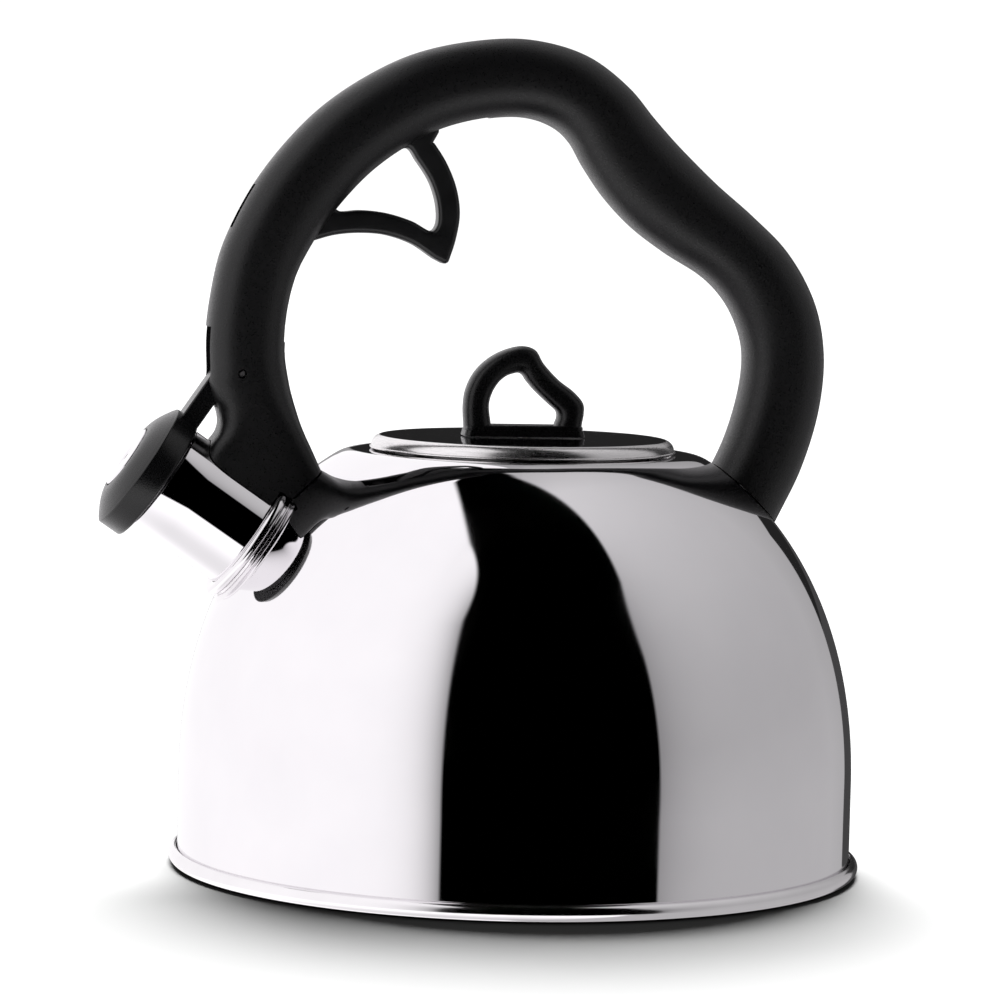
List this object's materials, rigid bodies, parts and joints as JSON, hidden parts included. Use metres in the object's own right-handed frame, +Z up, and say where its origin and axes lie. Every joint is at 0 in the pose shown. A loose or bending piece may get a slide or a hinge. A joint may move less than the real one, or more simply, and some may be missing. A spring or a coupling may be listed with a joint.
{
  "type": "stovetop whistling kettle",
  "caption": "Domed stainless steel stovetop kettle with a black arched handle, a trigger that lifts the whistling spout cap, and a lift-off lid with a loop knob.",
  "frame": {"origin": "centre of the flat base, on the surface that the kettle stands on", "axes": "+Z up along the body's axis; the spout points along -X and the handle's arch lies in the XZ plane; +Y across the handle"},
  "size_m": [0.2328, 0.2098, 0.2508],
  "materials": {
    "polished_steel": "mirror-polished stainless steel sheet",
    "base_steel": "polished rolled seam, satin underside",
    "plain_steel": "plain mill-finish stainless steel",
    "handle_plastic": "fine-grained moulded phenolic, soft matte black",
    "lever_plastic": "satin moulded nylon, black",
    "knob_plastic": "fine-grained moulded phenolic, soft matte black",
    "cap_plastic": "satin moulded phenolic, black"
  },
  "bodies": {
    "kettle": {"body_shell": "polished_steel", "base_pan": "base_steel", "spout_tube": "polished_steel", "spout_ring": "polished_steel", "handle_body": "handle_plastic", "trigger_pin": "plain_steel", "cap_pin": "plain_steel", "return_spring": "plain_steel", "front_screw_left": "plain_steel", "front_screw_right": "plain_steel", "rear_screw_left": "plain_steel", "rear_screw_right": "plain_steel", "front_washer_left": "plain_steel", "front_washer_right": "plain_steel", "rear_washer_left": "plain_steel", "rear_washer_right": "plain_steel"},
    "trigger_lever": {"trigger": "lever_plastic"},
    "spout_cap": {"cap_lever": "cap_plastic", "whistle_can": "plain_steel", "whistle_plate": "plain_steel", "cap_insert": "polished_steel"},
    "lid": {"lid_disc": "polished_steel", "lid_skirt": "plain_steel", "lid_knob": "knob_plastic", "knob_screw": "plain_steel", "knob_washer": "plain_steel"}
  },
  "joints": [
    {"name": "trigger_pull", "type": "hinge", "parent": "kettle", "child": "trigger_lever", "pos_m": [-0.0775, 0, 0.192], "axis": [0, -1, 0], "range_deg": [0, 16]},
    {"name": "cap_swing", "type": "hinge", "parent": "kettle", "child": "spout_cap", "pos_m": [-0.0869, 0, 0.1493], "axis": [0, 1, 0], "range_deg": [0, 42], "stiffness_Nm_per_rad": 0.03, "springref_deg": -68.75},
    {"name": "lid_lift", "type": "slide", "parent": "kettle", "child": "lid", "axis": [0, 0, 1], "range_m": [0, 0.045]}
  ],
  "couplings": [
    {"joint": "cap_swing", "follows": "trigger_pull", "ratio": 2.625}
  ]
}
